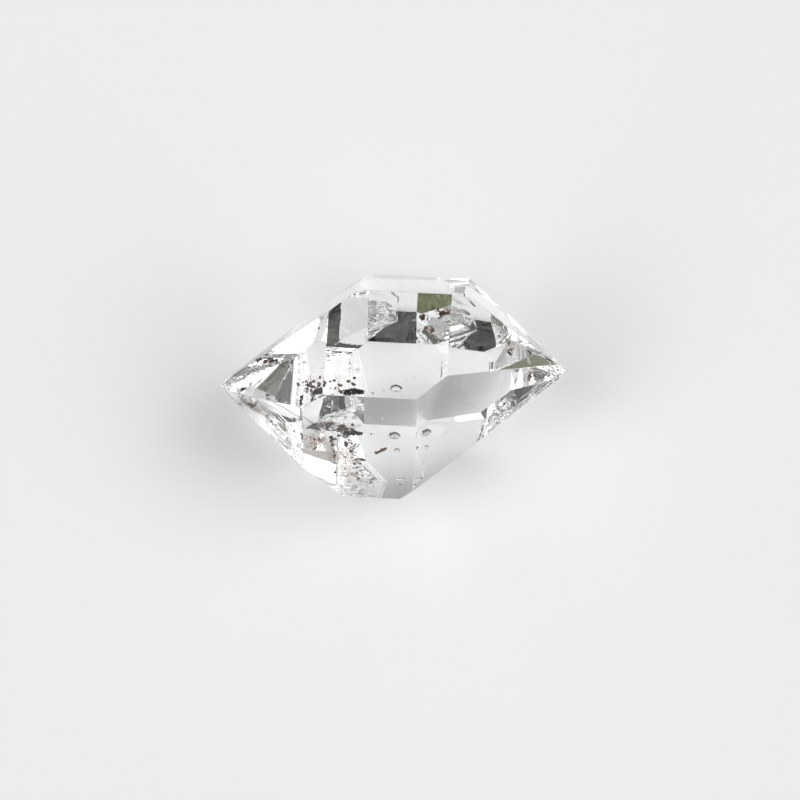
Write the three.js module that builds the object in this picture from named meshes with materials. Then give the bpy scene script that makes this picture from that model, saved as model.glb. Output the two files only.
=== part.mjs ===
// Herkimer diamond: a clear quartz crystal, grown loose in a cavity and pointed at both ends.
// It is one piece, a six-sided prism capped by a six-faced point at each end.
//
// Units are millimetres and +Z is up. The long axis of the crystal lies along X, and the crystal
// rests on its lowest prism face at Z = 0. The origin is below the middle of its box.

import * as THREE from 'three';
import { ConvexGeometry } from 'three/addons/geometries/ConvexGeometry.js';

// ---- Driving dimensions ------------------------------------------------------------------------

// The angles are quartz's own, so every crystal of it has them.
const PRISM_STEP = THREE.MathUtils.degToRad(60); // from one prism face to the next
const TIP_LEAN = THREE.MathUtils.degToRad(38.21); // how far a tip face turns towards the end

// How far each face grew from the middle of the crystal. Face 0 of a ring looks up, and the count
// goes round the long axis by way of the front, -Y, so face 3 of the prism is the resting face.
const PRISM_FACES = [9.47, 7.66, 8.36, 9.04, 9.84, 10.45];
const RIGHT_TIP_FACES = [10.14, 7.15, 6.83, 9.34, 11.4, 11.56];
const LEFT_TIP_FACES = [11.39, 11.07, 9.5, 10.16, 9.91, 10.71];

const GLASSY = { color: 0xf4f5f3, roughness: 0.03, metalness: 0 };

// ---- Faces -------------------------------------------------------------------------------------

// A ring of six planes round the long axis. A lean of 0 gives the prism, and end says which way a
// tip's faces turn: +1 to the right and -1 to the left.
function ringOfFaces(distances, lean, end) {
  return distances.map((distance, index) => {
    const turn = index * PRISM_STEP;
    const outward = new THREE.Vector3(
      end * Math.sin(lean),
      -Math.cos(lean) * Math.sin(turn),
      Math.cos(lean) * Math.cos(turn),
    );
    return new THREE.Plane(outward, -distance);
  });
}

// The one point where three planes meet, or null where they share a direction.
function meetingPoint(a, b, c) {
  const acrossBC = new THREE.Vector3().crossVectors(b.normal, c.normal);
  const slant = a.normal.dot(acrossBC);
  if (Math.abs(slant) < 1e-6) return null;
  return acrossBC
    .multiplyScalar(-a.constant)
    .addScaledVector(new THREE.Vector3().crossVectors(c.normal, a.normal), -b.constant)
    .addScaledVector(new THREE.Vector3().crossVectors(a.normal, b.normal), -c.constant)
    .divideScalar(slant);
}

// The corners of the solid inside all the planes: each is a meeting point that no plane cuts off.
function cornersInside(planes) {
  const SLACK = 1e-6;
  const corners = [];
  for (let i = 0; i < planes.length; i += 1) {
    for (let j = i + 1; j < planes.length; j += 1) {
      for (let k = j + 1; k < planes.length; k += 1) {
        const point = meetingPoint(planes[i], planes[j], planes[k]);
        if (point && planes.every((plane) => plane.distanceToPoint(point) < SLACK)) {
          corners.push(point);
        }
      }
    }
  }
  return corners;
}

// ---- The crystal -------------------------------------------------------------------------------

function makeCrystal() {
  const faces = [
    ...ringOfFaces(PRISM_FACES, 0, 1),
    ...ringOfFaces(RIGHT_TIP_FACES, TIP_LEAN, 1),
    ...ringOfFaces(LEFT_TIP_FACES, TIP_LEAN, -1),
  ];
  const geometry = new ConvexGeometry(cornersInside(faces));

  geometry.computeBoundingBox();
  const middle = geometry.boundingBox.getCenter(new THREE.Vector3());
  geometry.translate(-middle.x, -middle.y, -geometry.boundingBox.min.z);

  const crystal = new THREE.Mesh(geometry, new THREE.MeshStandardMaterial(GLASSY));
  crystal.name = 'crystal';
  return crystal;
}

const herkimerDiamond = new THREE.Group();
herkimerDiamond.add(makeCrystal());

export default herkimerDiamond;
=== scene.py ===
"""A herkimer diamond: one clear quartz crystal, pointed at both ends, lying on a pale table.

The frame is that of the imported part: metres, +X along the crystal, +Z up, and the crystal rests on
Z = 0. Sizes and places are written here in millimetres, and MM turns them into metres.
"""

import math
import random

import bmesh
import bpy
from mathutils import Matrix, Vector, noise


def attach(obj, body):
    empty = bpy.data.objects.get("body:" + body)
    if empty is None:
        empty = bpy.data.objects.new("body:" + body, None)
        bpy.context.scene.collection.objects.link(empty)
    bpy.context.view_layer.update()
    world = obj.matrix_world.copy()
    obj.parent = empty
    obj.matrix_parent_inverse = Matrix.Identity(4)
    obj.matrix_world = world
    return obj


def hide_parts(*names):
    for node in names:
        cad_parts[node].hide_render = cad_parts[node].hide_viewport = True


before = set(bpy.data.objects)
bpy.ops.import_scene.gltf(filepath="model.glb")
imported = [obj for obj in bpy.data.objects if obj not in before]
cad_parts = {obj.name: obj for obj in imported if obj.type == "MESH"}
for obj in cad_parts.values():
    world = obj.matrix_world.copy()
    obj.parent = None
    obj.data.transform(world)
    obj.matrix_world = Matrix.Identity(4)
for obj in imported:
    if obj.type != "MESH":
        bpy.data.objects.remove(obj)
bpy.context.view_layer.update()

# ---- The crystal --------------------------------------------------------------------------------
# One single crystal of quartz, grown loose in a cavity. Its faces are bright as they grew, and
# where two of them meet the edge is worn to a hair's width.

MM = 0.001
STEP_60 = math.radians(60)
TIP_LEAN = math.radians(38.21)
EDGE_WIDTH = 0.035
# Two ways whose dot product is over this are the same way.
SAME_WAY = 0.9995
# A corner this near to a cut counts as on it.
ON_CUT = 0.0005


def outward(ring, index):
    """Which way a face of the crystal looks. Ring "M" is the prism, "R" and "L" are the tips."""
    turn = index * STEP_60
    if ring == "M":
        return Vector((0, -math.sin(turn), math.cos(turn)))
    end = 1 if ring == "R" else -1
    return Vector(
        (
            end * math.sin(TIP_LEAN),
            -math.cos(TIP_LEAN) * math.sin(turn),
            math.cos(TIP_LEAN) * math.cos(turn),
        )
    )


QUARTZ_IOR = 1.544

quartz = bpy.data.materials.new("clear_quartz")
quartz.use_nodes = True
quartz_nodes = quartz.node_tree.nodes
quartz_links = quartz.node_tree.links
quartz_shader = quartz_nodes["Principled BSDF"]
quartz_shader.inputs["Base Color"].default_value = (1.0, 1.0, 1.0, 1)
quartz_shader.inputs["IOR"].default_value = QUARTZ_IOR
quartz_shader.inputs["Transmission Weight"].default_value = 1.0

# The faces aren't quite flat: they swell by a few thousandths of a millimetre, and fine growth
# lines run round the prism. The scales count per metre.
SWELL_SCALE = 420
SWELL_HEIGHT = 0.004
GROWTH_LINE_SCALE = (5000, 260, 260)
GROWTH_LINE_SHARE = 0.08

quartz_place = quartz_nodes.new("ShaderNodeTexCoord")
face_swell = quartz_nodes.new("ShaderNodeTexNoise")
face_swell.inputs["Scale"].default_value = SWELL_SCALE
face_swell.inputs["Detail"].default_value = 2.5
growth_stretch = quartz_nodes.new("ShaderNodeMapping")
growth_stretch.inputs["Scale"].default_value = GROWTH_LINE_SCALE
growth_lines = quartz_nodes.new("ShaderNodeTexNoise")
growth_lines.inputs["Scale"].default_value = 1
growth_lines.inputs["Detail"].default_value = 2
face_height = quartz_nodes.new("ShaderNodeMath")
face_height.operation = "MULTIPLY_ADD"
face_height.inputs[1].default_value = GROWTH_LINE_SHARE
face_bump = quartz_nodes.new("ShaderNodeBump")
face_bump.inputs["Distance"].default_value = SWELL_HEIGHT * MM
quartz_links.new(quartz_place.outputs["Object"], face_swell.inputs["Vector"])
quartz_links.new(quartz_place.outputs["Object"], growth_stretch.inputs["Vector"])
quartz_links.new(growth_stretch.outputs["Vector"], growth_lines.inputs["Vector"])
quartz_links.new(growth_lines.outputs["Fac"], face_height.inputs[0])
quartz_links.new(face_swell.outputs["Fac"], face_height.inputs[2])
quartz_links.new(face_height.outputs[0], face_bump.inputs["Height"])
quartz_links.new(face_bump.outputs["Normal"], quartz_shader.inputs["Normal"])

# Two places are finely etched, and so a little frosted: beside the left point, and the broken
# corner. Each: its middle and how far it reaches, in millimetres.
ETCHED = [((-11.6, -4.4, 12.2), 2.6), ((-3.6, -5.4, 0.6), 3.2)]
ETCHED_ROUGHNESS = 0.22
ETCHED_CORE = 0.6


def etched_place(middle, reach):
    """How rough the surface is round an etched place: evenly in its core, then fading out."""
    gap = quartz_nodes.new("ShaderNodeVectorMath")
    gap.operation = "DISTANCE"
    gap.inputs[1].default_value = Vector(middle) * MM
    fading = quartz_nodes.new("ShaderNodeMapRange")
    fading.inputs["From Min"].default_value = ETCHED_CORE * reach * MM
    fading.inputs["From Max"].default_value = reach * MM
    fading.inputs["To Min"].default_value = ETCHED_ROUGHNESS
    fading.inputs["To Max"].default_value = 0
    quartz_links.new(quartz_place.outputs["Object"], gap.inputs[0])
    quartz_links.new(gap.outputs["Value"], fading.inputs["Value"])
    return fading.outputs["Result"]


frost = quartz_nodes.new("ShaderNodeMath")
frost.operation = "MAXIMUM"
for place, socket in zip(ETCHED, frost.inputs):
    quartz_links.new(etched_place(*place), socket)
quartz_links.new(frost.outputs[0], quartz_shader.inputs["Roughness"])

# In its depth the quartz takes away a very little light.
quartz_depth = quartz_nodes.new("ShaderNodeVolumeAbsorption")
quartz_depth.inputs["Color"].default_value = (0.90, 0.93, 0.92, 1)
quartz_depth.inputs["Density"].default_value = 5
quartz_links.new(
    quartz_depth.outputs["Volume"], quartz_nodes["Material Output"].inputs["Volume"]
)

# The crystal's mesh is worked in millimetres and brought back to metres when it is whole.
crystal_bm = bmesh.new()
crystal_bm.from_mesh(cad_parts["crystal"].data)
bmesh.ops.remove_doubles(crystal_bm, verts=crystal_bm.verts, dist=0.001 * MM)
bmesh.ops.dissolve_limit(
    crystal_bm,
    angle_limit=math.radians(0.5),
    verts=crystal_bm.verts,
    edges=crystal_bm.edges,
)
bmesh.ops.scale(crystal_bm, vec=(1 / MM,) * 3, verts=crystal_bm.verts)

# Small faces that take off an edge or a corner: two points of the line where each one leaves
# its big face, the corner it takes off, that big face, and how far it leans from it in degrees.
SMALL_FACES = [
    ((-7.09, -9.08, 10.77), (-2.40, -10.48, 8.34), (-4.00, -10.48, 8.34), ("M", 1), 12),
    ((2.56, -7.39, 13.70), (3.25, -9.05, 9.75), (2.56, -9.84, 9.45), ("R", 1), 9),
    ((4.00, -2.90, 0.00), (4.00, 4.90, 0.00), (4.35, 1.00, 0.00), ("M", 3), 22),
    ((3.30, 4.91, 0.00), (4.35, 3.60, 0.00), (4.35, 4.91, 0.00), ("M", 3), 28),
]


def take_off(bm, place, way):
    """Breaks off what lies beyond a plane and closes the cut with one flat face."""
    cut = bmesh.ops.bisect_plane(
        bm,
        geom=[*bm.verts, *bm.edges, *bm.faces],
        plane_co=place,
        plane_no=way,
        dist=ON_CUT,
        clear_outer=True,
    )
    rim = [part for part in cut["geom_cut"] if isinstance(part, bmesh.types.BMEdge)]
    bmesh.ops.contextual_create(bm, geom=rim)


def leaning_way(start, finish, corner, way, lean):
    """The way a small face looks: its big face's way, leant towards the corner it takes off."""
    along = (finish - start).normalized()
    reach = corner - start
    reach -= along * reach.dot(along)
    reach = (reach - way * reach.dot(way)).normalized()
    return way * math.cos(math.radians(lean)) + reach * math.sin(math.radians(lean))


small_ways = []
for start, finish, corner, (ring, index), lean in SMALL_FACES:
    start, finish, corner = Vector(start), Vector(finish), Vector(corner)
    small_ways.append(leaning_way(start, finish, corner, outward(ring, index), lean))
    take_off(crystal_bm, start, small_ways[-1])
bmesh.ops.recalc_face_normals(crystal_bm, faces=crystal_bm.faces)

# The faces that the next section scars keep sharp edges for now, and so do the small faces.
underside = outward("M", 3)
front_low = outward("M", 2)
left_front_low = outward("L", 2)
left_low = outward("L", 3)
scar_faces = [underside, front_low, left_front_low, left_low]
scarred = [*scar_faces, *small_ways]
worn_edges = [
    edge
    for edge in crystal_bm.edges
    if not any(face.normal.dot(way) > SAME_WAY for face in edge.link_faces for way in scarred)
]
bmesh.ops.bevel(
    crystal_bm,
    geom=worn_edges,
    offset=EDGE_WIDTH,
    offset_type="OFFSET",
    affect="EDGES",
    segments=2,
    profile=0.5,
    material=-1,
    clamp_overlap=True,
)

# ---- The broken corner --------------------------------------------------------------------------
# Where the crystal touched the rock, its lower left corner at the front is a scar: shallow steps
# round its border, and a rippled broken surface inside them.

# The scar's border, as x and y on the resting face and as x and z on the front face above it.
# The closing corners, off the face, make each border a ring.
SCAR_BELOW = [
    (-3.9, 4.6), (-3.55, 3.9), (-3.2, 2.6), (-2.48, 0.18),
    (-0.46, -2.6), (-0.9, -4.63), (-0.75, -6.4),
]
BELOW_CLOSING = [(-6.5, -6.4), (-6.5, 4.6)]
SCAR_FRONT = [
    (-0.75, -0.6), (-0.6, 1.2), (-1.9, 2.1), (-2.9, 3.25), (-4.0, 4.0),
    (-5.0, 3.8), (-5.6, 2.4), (-5.0, 0.6),
]
FRONT_CLOSING = [(-4.4, -0.6)]
# On the front the step is crisp only as far as this many of its points.
FRONT_CRISP = 5
# The steps round it: how far inside the border each one is and how deep it drops.
SCAR_STEPS = [(0.0, 0.06), (0.24, 0.06), (0.46, 0.06)]
SCAR_RISER = 0.10
# Inside the steps the break is rough: how deep it lies, and how high its forms are.
BREAK_START = 0.56
BREAK_RAMP = 0.7
BREAK_DEPTH = 0.10
BREAK_SWELL = 0.13
BREAK_GRAIN = 0.035
BREAK_SPLINTERS = 0.09
BREAK_DISH = 0.03
# On the front it is one step and a dish with fine ripples.
FRONT_STEP = 0.07
FRONT_RISER = 0.08
FRONT_DISH = 0.12
FRONT_BEND = 0.05
RIPPLE_HEIGHT = 0.014
RIPPLE_LENGTH = 0.62
RIPPLE_RAMP = 0.3
# The scar runs on this far round an edge, and is cut into cells this wide between these places.
SCAR_BLEND = 0.7
SCAR_CELL = 0.10
SCAR_IN_X = (-6.2, -0.2)
SCAR_IN_Y = (-8.0, 4.7)

ALONG_X = Vector((1, 0, 0))
ALONG_Y = Vector((0, 1, 0))
ALONG_Z = Vector((0, 0, 1))


def smooth_step(value):
    """Rises from 0 to 1 as the value does, with no corner at either end."""
    value = min(max(value, 0.0), 1.0)
    return value * value * (3 - 2 * value)


def cut_faces(bm, faces, place, way, on_cut=ON_CUT):
    """Cuts some of the faces along a plane."""
    edges = dict.fromkeys(edge for face in faces for edge in face.edges)
    corners = dict.fromkeys(corner for face in faces for corner in face.verts)
    bmesh.ops.bisect_plane(
        bm, geom=[*faces, *edges, *corners], plane_co=place, plane_no=way, dist=on_cut
    )


def cut_flat_faces(bm, ways, place, across):
    """Cuts the flat faces that look those ways along a plane."""
    flat = [f for f in bm.faces if any(f.normal.dot(way) > SAME_WAY for way in ways)]
    cut_faces(bm, flat, place, across)


def cut_into_strips(bm, ways, first, last, step, across, origin=Vector((0, 0, 0))):
    """Cuts the flat faces that look those ways into strips of one width, square to across."""
    place = first
    while place < last:
        cut_flat_faces(bm, ways, origin + across * place, across)
        place += step


def corners_within(bm, way):
    """The corners that lie inside the flat face that looks that way, and not on its rim."""
    return [
        corner
        for corner in bm.verts
        if all(face.normal.dot(way) > SAME_WAY for face in corner.link_faces)
    ]


def inside_distance(point, border, closing):
    """How far a point is inside a border, or below zero outside it."""
    nearest = math.inf
    for (ax, ay), (bx, by) in zip(border, border[1:]):
        edge = Vector((bx - ax, by - ay))
        reach = Vector((point[0] - ax, point[1] - ay))
        share = min(max(reach.dot(edge) / edge.length_squared, 0), 1)
        nearest = min(nearest, (reach - edge * share).length)
    inside = False
    ring = border + closing
    for (ax, ay), (bx, by) in zip(ring, ring[1:] + ring[:1]):
        if (ay > point[1]) != (by > point[1]):
            if point[0] < ax + (point[1] - ay) / (by - ay) * (bx - ax):
                inside = not inside
    return nearest if inside else -nearest


def scar_depth_below(p):
    """How deep the scar is at a point of the resting face."""
    inside = inside_distance((p.x, p.y), SCAR_BELOW, BELOW_CLOSING)
    if inside <= 0:
        return 0.0
    steps = sum(
        drop * min(max((inside - place) / SCAR_RISER, 0), 1) for place, drop in SCAR_STEPS
    )
    swell = noise.fractal(Vector((p.x * 0.8, p.y * 0.8, 3.1)), 1.0, 2.0, 3)
    grain = noise.noise(Vector((p.x * 2.6, p.y * 2.6, 8.0)))
    splinters = abs(noise.noise(Vector((p.x * 1.7 - p.y, p.y * 3.1, 5.0))))
    rough = BREAK_DEPTH + BREAK_SWELL * swell + BREAK_GRAIN * grain
    rough += BREAK_SPLINTERS * splinters
    return steps + smooth_step((inside - BREAK_START) / BREAK_RAMP) * rough + BREAK_DISH * inside


def scar_depth_front(p):
    """How deep the scar is at a point of the front face above it."""
    inside = inside_distance((p.x, p.z), SCAR_FRONT, FRONT_CLOSING)
    if inside <= 0:
        return 0.0
    bend = noise.noise(Vector((p.x * 0.7, p.z * 0.7, 1.0)))
    ripple = math.sin((0.36 * p.x + 0.92 * p.z + 0.35 * bend) * 2 * math.pi / RIPPLE_LENGTH)
    return (
        FRONT_STEP * smooth_step(inside / FRONT_RISER)
        + FRONT_DISH * inside
        + smooth_step(inside / RIPPLE_RAMP) * (RIPPLE_HEIGHT * ripple + FRONT_BEND * bend)
    )


below_place = underside.dot(min(crystal_bm.verts, key=lambda v: v.co.z).co)
front_place = max(front_low.dot(v.co) for v in crystal_bm.verts)
left_place = max(left_front_low.dot(v.co) for v in crystal_bm.verts)


def scar_shift(p):
    """How far and which way the scar has taken the surface inwards at a point."""
    shift = Vector((0, 0, 0))
    near_below = 1 - (below_place - underside.dot(p)) / SCAR_BLEND
    if near_below > 0:
        shift -= underside * scar_depth_below(p) * smooth_step(near_below)
    near_front = 1 - (front_place - front_low.dot(p)) / SCAR_BLEND
    near_left = 1 - (left_place - left_front_low.dot(p)) / SCAR_BLEND
    if near_front > 0 or near_left > 0:
        depth = scar_depth_front(p)
        front_share = smooth_step(near_front)
        left_share = smooth_step(near_left)
        shift -= front_low * depth * front_share
        shift -= left_front_low * depth * left_share * (1 - front_share)
    return shift


def cut_beside(bm, way, border, gaps):
    """Cuts a flat face along a border and at gaps inside it, so that its steps come out crisp."""
    for start, finish in zip(border, border[1:]):
        across = way.cross(finish - start).normalized()
        for gap in gaps:
            cut_flat_faces(bm, [way], start + across * gap, across)


# The borders as lines in space. A step is cut along both sides of its riser.
step_gaps = [gap for place, _ in SCAR_STEPS for gap in (place, place + SCAR_RISER)]
below_border = [Vector((x, y, 0)) for x, y in SCAR_BELOW[1:]]
front_slope = Vector((0, front_low.z, -front_low.y)) / -front_low.y
front_foot = Vector((0, min(v.co.y for v in crystal_bm.verts if v.co.z < 0.01), 0))
front_border = [
    front_foot + Vector((x, 0, 0)) + front_slope * z for x, z in SCAR_FRONT[:FRONT_CRISP]
]
cut_beside(crystal_bm, underside, below_border, step_gaps)
cut_beside(crystal_bm, front_low, front_border, [0.0, -FRONT_RISER])
cut_into_strips(crystal_bm, scar_faces, *SCAR_IN_X, SCAR_CELL, ALONG_X)
cut_into_strips(crystal_bm, scar_faces, *SCAR_IN_Y, SCAR_CELL, ALONG_Y)
for corner in crystal_bm.verts:
    corner.co += scar_shift(corner.co)

# The small face under the right end holds a low step, a little ragged along its length: where it
# runs in x and in y, how deep it is, how wide its riser is and how far the riser wanders.
RIGHT_STEP_X = (4.05, 4.62)
RIGHT_STEP_Y = (-2.5, 3.4)
RIGHT_STEP_DEPTH = 0.16
RIGHT_STEP_RISER = 0.18
RIGHT_STEP_WANDER = 0.12
# The cells it is cut into, in x and in y: where they begin and end and how wide they are.
RIGHT_CELLS_X = (4.04, 4.6, 0.05)
RIGHT_CELLS_Y = (-2.6, 3.3, 0.19)

right_edge = small_ways[2]
cut_into_strips(crystal_bm, [right_edge], *RIGHT_CELLS_Y, ALONG_Y)
cut_into_strips(crystal_bm, [right_edge], *RIGHT_CELLS_X, ALONG_X)
for corner in corners_within(crystal_bm, right_edge):
    p = corner.co
    start = RIGHT_STEP_X[0] + RIGHT_STEP_WANDER * noise.noise(Vector((2.0, p.y * 1.4, 4.0)))
    ragged = 0.8 + 0.8 * noise.noise(Vector((5.0, p.y * 1.1, 1.0)))
    depth = RIGHT_STEP_DEPTH * ragged * smooth_step((p.x - start) / RIGHT_STEP_RISER)
    depth *= smooth_step((RIGHT_STEP_X[1] - p.x) / 0.10)
    along = smooth_step((p.y - RIGHT_STEP_Y[0]) / 0.6) * smooth_step((RIGHT_STEP_Y[1] - p.y) / 0.4)
    corner.co = p - right_edge * depth * along

# ---- Growth lines on the points -----------------------------------------------------------------
# The front face of each point grew in thin layers, whose ends show as fine grooves along its
# lower edge. Three more grooves run down beside the front edge of the right point.

# Each groove: its height, how deep it is, and where along the crystal it starts and ends.
LEFT_GROOVES = [
    (11.05, 0.05, -15.0, -8.0), (11.22, 0.03, -14.6, -9.4), (11.45, 0.05, -14.3, -8.0),
    (11.62, 0.02, -14.2, -11.4), (11.90, 0.04, -13.8, -9.2), (12.10, 0.02, -12.2, -8.0),
    (12.45, 0.04, -13.3, -10.6), (12.75, 0.03, -12.0, -8.2), (13.05, 0.04, -12.8, -10.2),
    (13.22, 0.06, -12.7, -9.9), (13.42, 0.05, -12.4, -9.6), (13.80, 0.02, -11.6, -9.0),
    (14.15, 0.03, -10.8, -8.2),
]
RIGHT_GROOVES = [
    (9.72, 0.04, 9.4, 15.2), (9.88, 0.03, 11.0, 15.0), (10.05, 0.05, 9.8, 14.8),
    (10.28, 0.03, 12.2, 14.7), (10.48, 0.04, 11.4, 14.5), (10.75, 0.02, 12.6, 14.2),
]
# The line that the three grooves lie beside, and how far each is from it and how deep it is.
EDGE_LINE = (Vector((2.45, -6.45, 15.29)), Vector((3.23, -9.12, 9.60)))
EDGE_GROOVES = [(0.10, 0.05), (0.30, 0.035), (0.62, 0.045)]
GROOVE_HALF_WIDTH = 0.045
GROOVE_FADE = 0.7
GROOVE_CELL = 0.37
# A corner this near to a groove's middle line lies on it.
ON_GROOVE = 0.002


def cut_groove_lines(way, middle, across, origin=Vector((0, 0, 0))):
    """Cuts a flat face along the middle and both sides of a groove."""
    for place in (middle - GROOVE_HALF_WIDTH, middle, middle + GROOVE_HALF_WIDTH):
        cut_flat_faces(crystal_bm, [way], origin + across * place, across)


def engrave(way, grooves, first, last):
    """Cuts V-shaped grooves along a flat face at set heights."""
    cut_into_strips(crystal_bm, [way], first, last, GROOVE_CELL, ALONG_X)
    for height, *_ in grooves:
        cut_groove_lines(way, height, ALONG_Z)
    for corner in corners_within(crystal_bm, way):
        p = corner.co
        for height, deep, start, finish in grooves:
            if abs(p.z - height) < ON_GROOVE:
                fade = smooth_step((p.x - start) / GROOVE_FADE)
                fade *= smooth_step((finish - p.x) / GROOVE_FADE)
                corner.co = p - way * deep * fade
                break


def engrave_beside(way, start, finish, grooves):
    """Cuts V-shaped grooves into a flat face, side by side with a line on it."""
    length = (finish - start).length
    along = (finish - start).normalized()
    across = along.cross(way).normalized()
    if across.x < 0:
        across = -across
    for gap, _ in grooves:
        cut_groove_lines(way, gap, across, start)
    cut_into_strips(crystal_bm, [way], 0, length, GROOVE_CELL, along, start)
    for corner in corners_within(crystal_bm, way):
        reach = corner.co - start
        for gap, deep in grooves:
            if abs(reach.dot(across) - gap) < ON_GROOVE:
                fade = smooth_step(reach.dot(along) / GROOVE_FADE)
                fade *= smooth_step((length - reach.dot(along)) / GROOVE_FADE)
                corner.co -= way * deep * fade
                break


engrave(outward("L", 1), LEFT_GROOVES, -15.0, -7.6)
engrave(outward("R", 1), RIGHT_GROOVES, 9.0, 15.3)
engrave_beside(outward("R", 1), *EDGE_LINE, EDGE_GROOVES)

# ---- The chipped points -------------------------------------------------------------------------
# Both points are worn and finely chipped where they knocked against the rock. Each zone: its
# middle, how far it reaches, the size of its chips and how deep they go.

CHIPPED = [
    ((-15.5, -1.30, 10.70), 1.7, 0.15, 0.14),
    ((15.5, 2.02, 9.60), 1.0, 0.12, 0.06),
]
# The surface is cut into cells a little wider than a chip, and slivers are left uncut.
CHIP_CELL = 1.3
ON_CHIP_CUT = 0.002

for middle, reach, chip, deep in CHIPPED:
    middle = Vector(middle)
    inner = middle.x - math.copysign(reach, middle.x)
    cut_faces(crystal_bm, crystal_bm.faces, ALONG_X * inner, ALONG_X)
    for across in (ALONG_X, ALONG_Y, ALONG_Z):
        place = across.dot(middle) - reach
        while place < across.dot(middle) + reach:
            near = [
                face
                for face in crystal_bm.faces
                if abs(face.calc_center_bounds().x) > abs(inner)
                and face.calc_center_bounds().x * middle.x > 0
            ]
            cut_faces(crystal_bm, near, across * place, across, ON_CHIP_CUT)
            place += chip * CHIP_CELL
    crystal_bm.normal_update()
    for corner in crystal_bm.verts:
        p = corner.co
        share = smooth_step((1 - (p - middle).length / reach) * 1.6)
        if share > 0:
            lump = 0.6 + 0.9 * noise.fractal(p * 1.3, 0.9, 2.0, 3)
            corner.co = p - corner.normal * deep * share * max(lump, 0.0)

# ---- Fluid bubbles and healed cracks ------------------------------------------------------------
# Pockets of fluid and thin cracks that the crystal sealed in as it grew. They are hollows, so
# their walls are faces of the quartz that look into the hollow.

# Each bubble: its middle, its three half-widths, how far it is turned about Z in degrees, and
# how many times its shape is rounded: few times leaves it angular.
BUBBLES = [
    ((0.28, -1.05, 6.50), (0.50, 0.40, 0.34), 5, 3),
    ((-0.98, -2.39, 5.53), (0.54, 0.24, 0.28), 26, 1),
    ((0.55, -2.31, 5.67), (0.27, 0.20, 0.18), -30, 1),
    ((1.27, -5.28, 4.72), (0.09, 0.09, 0.09), 0, 2),
    ((1.05, -5.33, 4.62), (0.48, 0.17, 0.12), 8, 2),
    ((0.93, -6.19, 5.21), (0.12, 0.09, 0.09), 0, 2),
    ((-3.26, 0.20, 7.80), (0.30, 0.26, 0.12), 0, 3),
    ((-4.10, 0.30, 7.60), (0.24, 0.20, 0.10), 30, 1),
    ((-5.69, 0.80, 8.78), (0.34, 0.12, 0.10), -15, 1),
    ((1.30, -0.82, 9.50), (0.09, 0.09, 0.09), 0, 2),
    ((1.98, -0.45, 9.08), (0.08, 0.08, 0.08), 0, 2),
    ((-0.62, -2.39, 11.49), (0.10, 0.06, 0.06), 20, 2),
]
# Each crack: its middle, its half-length and half-width, which way it looks, and how wavy it is.
CRACKS = [
    ((-4.1, -1.9, 7.3), 0.55, 0.35, (0.3, 0.5, 0.8), 0.05),
    ((-5.0, -1.5, 7.5), 0.40, 0.25, (-0.4, 0.6, 0.6), 0.05),
    ((-3.3, -2.6, 6.4), 0.80, 0.55, (-0.6, 0.3, 0.7), 0.06),
    ((-4.9, -2.9, 6.2), 0.70, 0.50, (0.7, 0.2, 0.6), 0.05),
    ((-2.6, -3.3, 5.4), 0.60, 0.40, (0.2, -0.5, 0.8), 0.04),
    ((-4.4, -4.2, 5.0), 0.80, 0.50, (0.1, 0.8, 0.6), 0.06),
    ((-3.1, -5.0, 4.2), 0.70, 0.50, (0.6, 0.5, 0.5), 0.05),
    ((-12.3, -1.6, 10.9), 0.60, 0.30, (0.1, 0.2, 1.0), 0.03),
    ((-13.3, -1.9, 10.6), 0.50, 0.25, (0.3, -0.4, 0.8), 0.03),
    ((-10.6, -4.8, 12.1), 0.75, 0.22, (-0.6, -0.4, 0.7), 0.05),
    ((-5.9, -5.5, 14.3), 0.80, 0.28, (0.2, -0.3, 0.9), 0.06),
    ((-4.7, -5.6, 14.2), 0.60, 0.25, (-0.3, -0.2, 0.9), 0.06),
]
BUBBLE_LUMPS = 0.14
CRACK_RAGGED = 0.35
CRACK_HALF_GAP = 0.012
# A cloud of tiny bubbles lies near the broken corner: its middle, its spread, and the bubbles'
# smallest half-width and how much more the largest have.
TINY_BUBBLES = 45
TINY_SIZE = 0.03
TINY_EXTRA = 0.07
CLOUD_MIDDLE = (-4.2, -2.6, 6.4)
CLOUD_SPREAD = (0.8, 1.2, 1.0)
# Faces smaller than this, in square millimetres, are parts of a curved or broken surface, and
# shade smoothly except where they meet in a crease.
LARGEST_CELL = 0.03
CREASE = math.radians(24)

chance = random.Random(7)


def sealed_hollow(shape):
    """Takes a closed shape out of the inside of the crystal."""
    bmesh.ops.reverse_faces(shape, faces=shape.faces)
    carrier = bpy.data.meshes.new("hollow")
    shape.to_mesh(carrier)
    shape.free()
    crystal_bm.from_mesh(carrier)
    bpy.data.meshes.remove(carrier)


def bubble(middle, half_widths, turn, rounding=2):
    """A lumpy pocket with one flat side."""
    shape = bmesh.new()
    bmesh.ops.create_icosphere(shape, subdivisions=rounding, radius=1)
    key = Vector(middle) * 3
    for corner in shape.verts:
        p = corner.co
        p *= 1 + BUBBLE_LUMPS * noise.noise(p * 0.9 + key)
        p.y = max(p.y, -0.45)
    place = Matrix.Translation(middle) @ Matrix.Rotation(math.radians(turn), 4, "Z")
    bmesh.ops.transform(
        shape, matrix=place @ Matrix.Diagonal((*half_widths, 1)), verts=shape.verts
    )
    sealed_hollow(shape)


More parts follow.
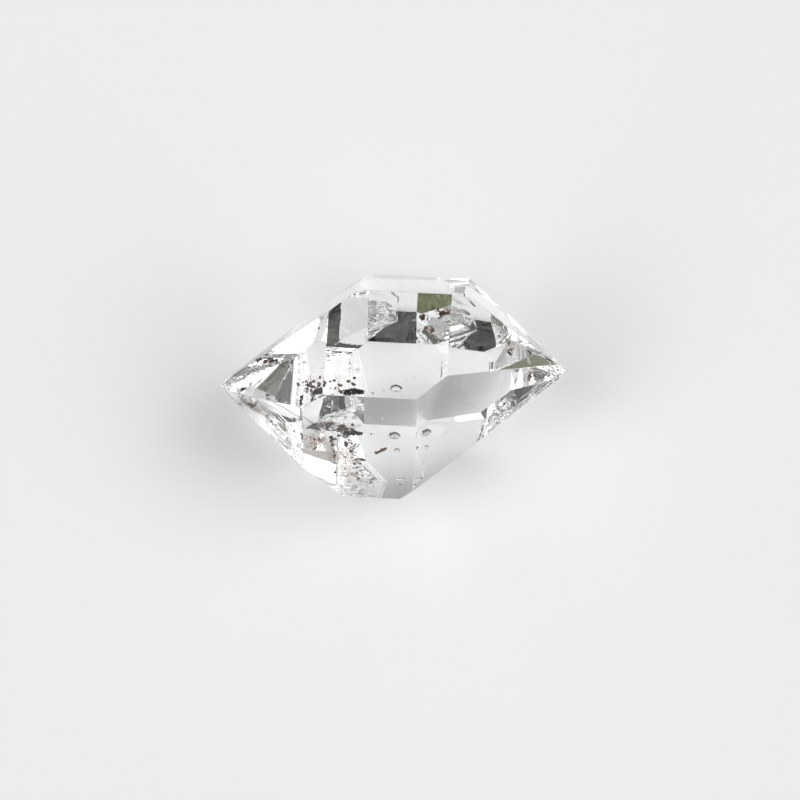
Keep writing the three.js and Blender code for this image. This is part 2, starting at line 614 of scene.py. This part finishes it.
def crack(middle, half_length, half_width, looks, wave):
    """A thin wavy gap with a ragged rim."""
    shape = bmesh.new()
    bmesh.ops.create_icosphere(shape, subdivisions=4, radius=1)
    key = Vector(middle) * 2
    for corner in shape.verts:
        p = corner.co
        edge = 1 + CRACK_RAGGED * noise.noise(Vector((p.x, p.y, 0)) * 1.6 + key)
        flat = Vector((p.x * half_length * edge, p.y * half_width * edge, p.z * CRACK_HALF_GAP))
        flat.z += wave * noise.fractal(flat * 2.2 + key, 1.0, 2.0, 2)
        corner.co = flat
    turn = Vector(looks).to_track_quat("Z", "X").to_matrix().to_4x4()
    bmesh.ops.transform(shape, matrix=Matrix.Translation(middle) @ turn, verts=shape.verts)
    sealed_hollow(shape)


for place in BUBBLES:
    bubble(*place)
for place in CRACKS:
    crack(*place)
for _ in range(TINY_BUBBLES):
    spot = [chance.gauss(middle, spread) for middle, spread in zip(CLOUD_MIDDLE, CLOUD_SPREAD)]
    size = TINY_SIZE + TINY_EXTRA * chance.random() ** 2
    stretch = 1 + chance.random()
    bubble(spot, (size * stretch, size, size * 0.8), chance.uniform(0, 180))

crystal_bm.normal_update()
for face in crystal_bm.faces:
    face.smooth = face.calc_area() < LARGEST_CELL
for edge in crystal_bm.edges:
    edge.smooth = edge.calc_face_angle(0) < CREASE
bmesh.ops.scale(crystal_bm, vec=(MM,) * 3, verts=crystal_bm.verts)
crystal_mesh = bpy.data.meshes.new("crystal_faces")
crystal_bm.to_mesh(crystal_mesh)
crystal_bm.free()
crystal_mesh.materials.append(quartz)
crystal = bpy.data.objects.new("crystal_faces", crystal_mesh)
bpy.context.scene.collection.objects.link(crystal)
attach(crystal, "root")
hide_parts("crystal")

# ---- Grains inside ------------------------------------------------------------------------------
# Grains and flakes of bitumen, black or brown, and fine clay, sealed in the quartz while it grew.
# Most of them lie in a cloud near the broken corner, and the rest beside the left point. Two rows
# of small black grains are painted shade instead: they trace the dark upper rims of two bubbles.

# Each grain: its place, its three half-widths, and its turn about Z in degrees.
BLACK_GRAINS = [
    ((-1.72, -1.81, 7.80), (0.09, 0.08, 0.07), 0),
    ((-4.12, -2.05, 8.10), (0.15, 0.12, 0.12), 20),
    ((-4.42, -2.33, 9.50), (0.12, 0.10, 0.10), 0),
    ((-6.08, -1.12, 8.25), (0.20, 0.12, 0.12), -40),
    ((-5.54, -1.05, 8.38), (0.11, 0.08, 0.09), 0),
    ((-5.36, -2.39, 6.97), (0.16, 0.12, 0.14), 30),
    ((-5.25, -2.60, 6.60), (0.13, 0.15, 0.15), 0),
    ((-5.45, -2.15, 7.30), (0.10, 0.16, 0.12), 0),
    ((-5.05, -2.95, 6.10), (0.10, 0.12, 0.12), 50),
    ((-4.92, -5.69, 5.82), (0.13, 0.11, 0.10), 0),
    ((-3.84, -5.80, 5.62), (0.05, 0.16, 0.10), 0),
    ((-1.63, -5.40, 4.51), (0.10, 0.08, 0.08), 0),
    ((-1.72, -5.62, 4.14), (0.10, 0.09, 0.08), 0),
    ((-2.70, -3.95, 5.25), (0.10, 0.08, 0.08), 0),
    ((-8.54, -3.12, 10.81), (0.10, 0.09, 0.09), 0),
    ((-12.63, -1.62, 9.66), (0.34, 0.16, 0.14), 15),
    ((-12.15, -1.52, 11.16), (0.08, 0.08, 0.07), 0),
    ((-5.39, -1.95, 9.66), (0.05, 0.17, 0.08), 0),
    ((-5.05, -1.66, 8.42), (0.08, 0.11, 0.08), 0),
    ((0.95, -6.25, 5.00), (0.10, 0.08, 0.08), 0),
    ((1.30, -5.28, 4.72), (0.07, 0.07, 0.07), 0),
]
BROWN_GRAINS = [
    ((-3.99, -0.61, 6.82), (0.18, 0.14, 0.14), 0),
    ((-4.60, -1.15, 7.40), (0.16, 0.13, 0.13), 35),
    ((-3.46, -0.36, 7.31), (0.14, 0.12, 0.12), 0),
    ((-3.50, -0.95, 7.30), (0.20, 0.13, 0.13), -20),
    ((-4.01, -2.53, 6.74), (0.17, 0.34, 0.28), 10),
    ((-3.57, -2.93, 6.05), (0.22, 0.16, 0.18), 0),
    ((-2.50, -3.70, 5.65), (0.30, 0.14, 0.16), -12),
    ((-3.05, -3.68, 5.67), (0.26, 0.08, 0.10), 12),
    ((-5.10, -3.30, 5.40), (0.14, 0.20, 0.16), 0),
    ((-4.70, -1.60, 6.90), (0.14, 0.12, 0.12), 0),
    ((-5.20, -0.90, 8.30), (0.16, 0.10, 0.10), 0),
]
# Grains that lie in rows: the points the row runs through, how many grains it has, how far they
# stray from it, and their smallest and largest half-width.
BLACK_ROWS_AND_PAINTED_RIM_SHADE = [
    ([(-4.05, -1.86, 7.82), (-2.60, -1.66, 7.68)], 22, 0.12, 0.10, 0.19),
    ([(-5.27, -2.15, 7.38), (-5.33, -2.42, 6.90), (-5.15, -2.75, 6.35), (-5.10, -3.35, 5.30)],
     14, 0.07, 0.05, 0.10),
    # These two rows are painted shade: small black grains along the upper rims of the bubbles at
    # (0.28, -1.05, 6.50) and (0.55, -2.31, 5.67), darkening the rims as refraction would.
    ([(-0.24, -1.10, 6.46), (-0.10, -0.84, 6.70), (0.28, -0.72, 6.80), (0.66, -0.84, 6.72),
      (0.80, -1.00, 6.54)], 30, 0.012, 0.035, 0.055),
    ([(0.28, -2.34, 5.65), (0.36, -2.19, 5.79), (0.56, -2.13, 5.84), (0.75, -2.19, 5.79),
      (0.83, -2.32, 5.66)], 20, 0.01, 0.022, 0.035),
    ([(-7.40, -4.79, 14.58), (-6.18, -5.36, 13.60)], 26, 0.015, 0.025, 0.045),
]
BROWN_ROWS = [
    ([(-12.10, 0.40, 12.75), (-11.08, 0.13, 13.34), (-10.33, -0.03, 14.04), (-9.25, -0.87, 14.55)],
     46, 0.20, 0.04, 0.13),
    ([(-6.92, -2.90, 15.82), (-6.27, -2.96, 16.34), (-6.40, -3.37, 16.20), (-5.70, -3.50, 16.75)],
     22, 0.16, 0.04, 0.12),
    ([(-12.55, -3.20, 11.75), (-12.25, -3.55, 11.95), (-11.85, -3.50, 12.55)],
     20, 0.14, 0.04, 0.12),
    ([(-14.65, -0.90, 11.09), (-13.33, -0.29, 11.93), (-12.10, 0.54, 12.44)],
     60, 0.02, 0.02, 0.045),
    ([(-10.85, -4.43, 12.17), (-10.46, -4.78, 12.16), (-9.98, -5.23, 12.14)],
     26, 0.16, 0.03, 0.10),
    ([(-1.38, -2.58, 5.45), (-0.92, -2.36, 5.56), (-0.50, -2.18, 5.75)], 16, 0.03, 0.09, 0.16),
    ([(-3.60, -3.40, 5.80), (-3.00, -4.20, 5.00), (-2.60, -5.20, 4.20)], 20, 0.35, 0.03, 0.10),
    ([(-4.60, -1.20, 7.60), (-3.30, -2.60, 6.60)], 20, 0.35, 0.03, 0.10),
    ([(-6.40, -5.50, 14.50), (-5.20, -5.55, 14.40), (-4.20, -5.60, 14.40)], 16, 0.14, 0.02, 0.07),
]
# Clay came in as dust, fine enough to show as a warm haze.
CLAY_ROWS = [
    ([(-5.60, -3.20, 6.20), (-4.80, -3.70, 5.60), (-4.00, -3.10, 6.00), (-3.20, -3.60, 5.60)],
     420, 0.55, 0.012, 0.04),
    ([(-4.80, -4.60, 5.20), (-2.80, -5.00, 4.60)], 260, 0.60, 0.012, 0.04),
    ([(-6.40, -1.30, 8.20), (-5.40, -0.70, 8.00), (-3.40, -0.80, 7.60)], 180, 0.50, 0.012, 0.035),
    ([(-12.60, -3.00, 11.50), (-11.40, -4.20, 12.10), (-9.90, -5.10, 11.90)],
     240, 0.28, 0.012, 0.04),
    ([(-7.10, -6.10, 12.90), (-6.50, -6.70, 12.20), (-5.90, -6.20, 12.80), (-5.30, -6.80, 12.20),
      (-4.60, -6.50, 12.50)], 1500, 0.42, 0.008, 0.022),
]
# A grain is rounded once more for each of these half-widths that it is over.
ROUNDER_OVER = (0.05, 0.1)
GRAIN_LUMPS = 0.45
MOTTLE_SCALE = 6000


def grains_in_rows(rows):
    """The single grains of some rows, each as its place, half-widths and turn."""
    grains = []
    for points, count, stray, smallest, largest in rows:
        points = [Vector(point) for point in points]
        for number in range(count):
            place = number / (count - 1) * (len(points) - 1)
            leg = min(int(place), len(points) - 2)
            spot = points[leg].lerp(points[leg + 1], place - leg)
            spot += Vector([chance.uniform(-stray, stray) for _ in range(3)])
            girth = chance.uniform(smallest, largest)
            grains.append((spot, (girth * 1.3, girth * 1.1, girth), chance.uniform(0, 90)))
    return grains


def sealed_grains(name, grains, material):
    """One piece that holds many rough grains."""
    grains_bm = bmesh.new()
    for middle, half_widths, turn in grains:
        rounding = 1 + sum(min(half_widths) > size for size in ROUNDER_OVER)
        shape = bmesh.ops.create_icosphere(grains_bm, subdivisions=rounding, radius=1)["verts"]
        key = Vector(middle) * 5
        for corner in shape:
            p = corner.co.copy()
            corner.co = p * (1 + GRAIN_LUMPS * noise.fractal(p * 1.1 + key, 0.8, 2.0, 3))
        place = Matrix.Translation(middle) @ Matrix.Rotation(math.radians(turn), 4, "Z")
        bmesh.ops.transform(
            grains_bm, matrix=place @ Matrix.Diagonal((*half_widths, 1)), verts=shape
        )
    bmesh.ops.scale(grains_bm, vec=(MM,) * 3, verts=grains_bm.verts)
    mesh = bpy.data.meshes.new(name)
    grains_bm.to_mesh(mesh)
    grains_bm.free()
    mesh.materials.append(material)
    piece = bpy.data.objects.new(name, mesh)
    bpy.context.scene.collection.objects.link(piece)
    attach(piece, "root")


def grain_material(name, dark, light, roughness):
    """What the grains are made of, finely mottled between two colours."""
    material = bpy.data.materials.new(name)
    material.use_nodes = True
    nodes = material.node_tree.nodes
    links = material.node_tree.links
    shader = nodes["Principled BSDF"]
    where = nodes.new("ShaderNodeTexCoord")
    mottle = nodes.new("ShaderNodeTexNoise")
    mottle.inputs["Scale"].default_value = MOTTLE_SCALE
    mottle.inputs["Detail"].default_value = 3
    links.new(where.outputs["Object"], mottle.inputs["Vector"])
    blend = nodes.new("ShaderNodeMix")
    blend.data_type = "RGBA"
    blend.inputs["A"].default_value = dark
    blend.inputs["B"].default_value = light
    links.new(mottle.outputs["Fac"], blend.inputs["Factor"])
    links.new(blend.outputs["Result"], shader.inputs["Base Color"])
    shader.inputs["Roughness"].default_value = roughness
    return material


# The black material also colours the painted rim shade on two bubbles.
black_bitumen_and_painted_rim_shade = grain_material(
    "black_bitumen_and_painted_rim_shade", (0.006, 0.006, 0.006, 1), (0.03, 0.026, 0.022, 1), 0.35
)
brown_bitumen = grain_material(
    "brown_bitumen", (0.02, 0.011, 0.007, 1), (0.16, 0.085, 0.05, 1), 0.5
)
tan_clay = grain_material("tan_clay", (0.34, 0.22, 0.15, 1), (0.58, 0.43, 0.33, 1), 0.8)
# The black piece holds the bitumen grains and the painted rim shade on two bubbles.
sealed_grains("black_grains_and_painted_rim_shade", BLACK_GRAINS + grains_in_rows(BLACK_ROWS_AND_PAINTED_RIM_SHADE), black_bitumen_and_painted_rim_shade)
sealed_grains("brown_grains", BROWN_GRAINS + grains_in_rows(BROWN_ROWS), brown_bitumen)
sealed_grains("clay_dust", grains_in_rows(CLAY_ROWS), tan_clay)

# ---- Table, light and camera --------------------------------------------------------------------
# A matt white board lies under the crystal. Large soft lights stand round it, with darker parts
# of the room and some greenery between them.

# The board lies a hair below the crystal, so that no two faces share a plane.
TABLE_DROP = 0.02 * MM
TABLE_HALF_WIDTH = 450 * MM

board_bm = bmesh.new()
bmesh.ops.create_grid(board_bm, x_segments=1, y_segments=1, size=TABLE_HALF_WIDTH)
bmesh.ops.translate(board_bm, verts=board_bm.verts, vec=(0, 0, -TABLE_DROP))
board_mesh = bpy.data.meshes.new("table_board")
board_bm.to_mesh(board_mesh)
board_bm.free()
board_paint = bpy.data.materials.new("white_board")
board_paint.use_nodes = True
board_shader = board_paint.node_tree.nodes["Principled BSDF"]
board_shader.inputs["Base Color"].default_value = (0.90, 0.90, 0.905, 1)
board_shader.inputs["Roughness"].default_value = 0.9
board_shader.inputs["Specular IOR Level"].default_value = 0.1
board_mesh.materials.append(board_paint)
board = bpy.data.objects.new("table_board", board_mesh)
bpy.context.scene.collection.objects.link(board)


def heading(azimuth, elevation):
    """A direction from the crystal: degrees from +X towards +Y, and degrees up."""
    turn = math.radians(azimuth)
    rise = math.radians(elevation)
    return Vector(
        (
            math.cos(rise) * math.cos(turn),
            math.cos(rise) * math.sin(turn),
            math.sin(rise),
        )
    )


WHITE = (1.0, 1.0, 1.0)
WARM_WALL = (1.0, 0.92, 0.84)
COOL_SKY = (0.94, 0.99, 1.04)
LEAF_GREEN = (0.86, 1.0, 0.36)
DIM_ROOM = (0.045, 0.045, 0.050)

# Each soft area of the room: its azimuth, elevation and spread in degrees, colour and brightness.
SOFT_AREAS = [
    # The left lamp, a tall diffuser of three panels.
    (200, 46, 14, WHITE, 2.4),
    (222, 36, 14, WHITE, 2.4),
    (212, 62, 14, WHITE, 2.4),
    # The right lamp, a wider diffuser of four panels.
    (0, 60, 15, WHITE, 2.4),
    (330, 48, 15, WHITE, 2.4),
    (348, 34, 15, WHITE, 2.4),
    (18, 46, 15, WHITE, 2.4),
    # A small reflector overhead.
    (280, 80, 14, WHITE, 0.8),
    # A window low at the right, and warm walls low at the front and at the back.
    (320, 24, 13, COOL_SKY, 1.2),
    (238, 10, 12, WARM_WALL, 0.8),
    (278, 10, 16, WARM_WALL, 0.4),
    (68, 16, 16, WARM_WALL, 0.6),
    (55, 48, 14, WARM_WALL, 0.4),
    # Pale cloths at the back left, and leaves above and beside them.
    (100, 28, 12, WHITE, 0.3),
    (159, 16, 12, WHITE, 0.7),
    (112, 48, 12, LEAF_GREEN, 0.14),
    (200, 23, 8, LEAF_GREEN, 0.20),
]

room = bpy.data.worlds.new("soft_studio")
room.use_nodes = True
bpy.context.scene.world = room
room_nodes = room.node_tree.nodes
room_links = room.node_tree.links
room_nodes.clear()


def room_node(kind, **settings):
    """Adds one node to the light of the room."""
    node = room_nodes.new(kind)
    for key, value in settings.items():
        setattr(node, key, value)
    return node


# A soft area's light falls off evenly all round its middle, and all the areas add up.
view_way = room_node("ShaderNodeTexCoord").outputs["Generated"]
dim_light = room_node("ShaderNodeRGB")
dim_light.outputs[0].default_value = (*DIM_ROOM, 1)
room_light = dim_light.outputs[0]
for azimuth, elevation, spread, colour, brightness in SOFT_AREAS:
    facing = room_node("ShaderNodeVectorMath", operation="DOT_PRODUCT")
    room_links.new(view_way, facing.inputs[0])
    facing.inputs[1].default_value = heading(azimuth, elevation)
    sharpness = 1 / (1 - math.cos(math.radians(spread)))
    falling = room_node("ShaderNodeMath", operation="MULTIPLY_ADD")
    room_links.new(facing.outputs["Value"], falling.inputs[0])
    falling.inputs[1].default_value = sharpness
    falling.inputs[2].default_value = -sharpness
    strength = room_node("ShaderNodeMath", operation="EXPONENT")
    room_links.new(falling.outputs[0], strength.inputs[0])
    lit = room_node("ShaderNodeVectorMath", operation="MULTIPLY_ADD")
    room_links.new(strength.outputs[0], lit.inputs[0])
    lit.inputs[1].default_value = Vector(colour) * brightness
    room_links.new(room_light, lit.inputs[2])
    room_light = lit.outputs["Vector"]

# The leaves hang high up, so their mottle fades out towards the horizon: the height, as a share
# of the way straight up, where it begins and where it is full, and how strong it is.
LEAF_SCALE = 190
LEAF_CONTRAST = (0.32, 0.68)
LEAF_HEIGHTS = (0.40, 0.65)
LEAF_STRENGTH = (0.15, 0.16, 0.12)

leafy = room_node("ShaderNodeTexNoise")
leafy.inputs["Scale"].default_value = LEAF_SCALE
leafy.inputs["Detail"].default_value = 4
leafy.inputs["Roughness"].default_value = 0.6
room_links.new(view_way, leafy.inputs["Vector"])
leafy_range = room_node("ShaderNodeMapRange")
leafy_range.inputs["From Min"].default_value = LEAF_CONTRAST[0]
leafy_range.inputs["From Max"].default_value = LEAF_CONTRAST[1]
leafy_range.inputs["To Min"].default_value = -1
leafy_range.inputs["To Max"].default_value = 1
room_links.new(leafy.outputs["Fac"], leafy_range.inputs["Value"])
view_height = room_node("ShaderNodeSeparateXYZ")
room_links.new(view_way, view_height.inputs[0])
high_up = room_node("ShaderNodeMapRange")
high_up.inputs["From Min"].default_value = LEAF_HEIGHTS[0]
high_up.inputs["From Max"].default_value = LEAF_HEIGHTS[1]
room_links.new(view_height.outputs["Z"], high_up.inputs["Value"])
leaves_only = room_node("ShaderNodeMath", operation="MULTIPLY")
room_links.new(leafy_range.outputs["Result"], leaves_only.inputs[0])
room_links.new(high_up.outputs["Result"], leaves_only.inputs[1])
mottled = room_node("ShaderNodeVectorMath", operation="MULTIPLY_ADD")
room_links.new(leaves_only.outputs[0], mottled.inputs[0])
mottled.inputs[1].default_value = LEAF_STRENGTH
room_links.new(room_light, mottled.inputs[2])
above_nothing = room_node("ShaderNodeVectorMath", operation="MAXIMUM")
room_links.new(mottled.outputs["Vector"], above_nothing.inputs[0])

# The crystal is lit by the room, and behind it stands a plain pale backdrop.
surroundings = room_node("ShaderNodeBackground")
room_links.new(above_nothing.outputs["Vector"], surroundings.inputs["Color"])
backdrop = room_node("ShaderNodeBackground")
backdrop.inputs["Color"].default_value = (0.86, 0.87, 0.88, 1)
seen_straight = room_node("ShaderNodeLightPath").outputs["Is Camera Ray"]
either = room_node("ShaderNodeMixShader")
room_links.new(seen_straight, either.inputs[0])
room_links.new(surroundings.outputs[0], either.inputs[1])
room_links.new(backdrop.outputs[0], either.inputs[2])
room_links.new(either.outputs[0], room_node("ShaderNodeOutputWorld").inputs["Surface"])

# The camera looks down on the crystal from the front, as in the photo.
CAMERA_PLACE = Vector((17.05, -102.6, 291.25)) * MM
CAMERA_AIM = Vector((0.54, -0.98, 8.0)) * MM
CAMERA_ROLL = -5.95
CAMERA_LENS = 150.15

camera_data = bpy.data.cameras.new("camera")
camera_data.lens = CAMERA_LENS
camera_data.sensor_width = 36
camera_data.clip_start = 0.01
camera_data.clip_end = 20
camera = bpy.data.objects.new("camera", camera_data)
camera_turn = (CAMERA_AIM - CAMERA_PLACE).to_track_quat("-Z", "Y").to_matrix().to_4x4()
camera_turn = camera_turn @ Matrix.Rotation(math.radians(CAMERA_ROLL), 4, "Z")
camera.matrix_world = Matrix.Translation(CAMERA_PLACE) @ camera_turn
bpy.context.scene.collection.objects.link(camera)
bpy.context.scene.camera = camera

# Light has to bend through many faces, so it may take many steps.
LIGHT_STEPS = 32

scene = bpy.context.scene
scene.view_settings.view_transform = "Standard"
scene.cycles.max_bounces = LIGHT_STEPS
scene.cycles.transmission_bounces = LIGHT_STEPS
scene.cycles.glossy_bounces = LIGHT_STEPS
scene.cycles.diffuse_bounces = 4
scene.cycles.caustics_reflective = True
scene.cycles.caustics_refractive = True
scene.cycles.blur_glossy = 0.0
scene.cycles.sample_clamp_indirect = 8.0
scene.cycles.use_denoising = True
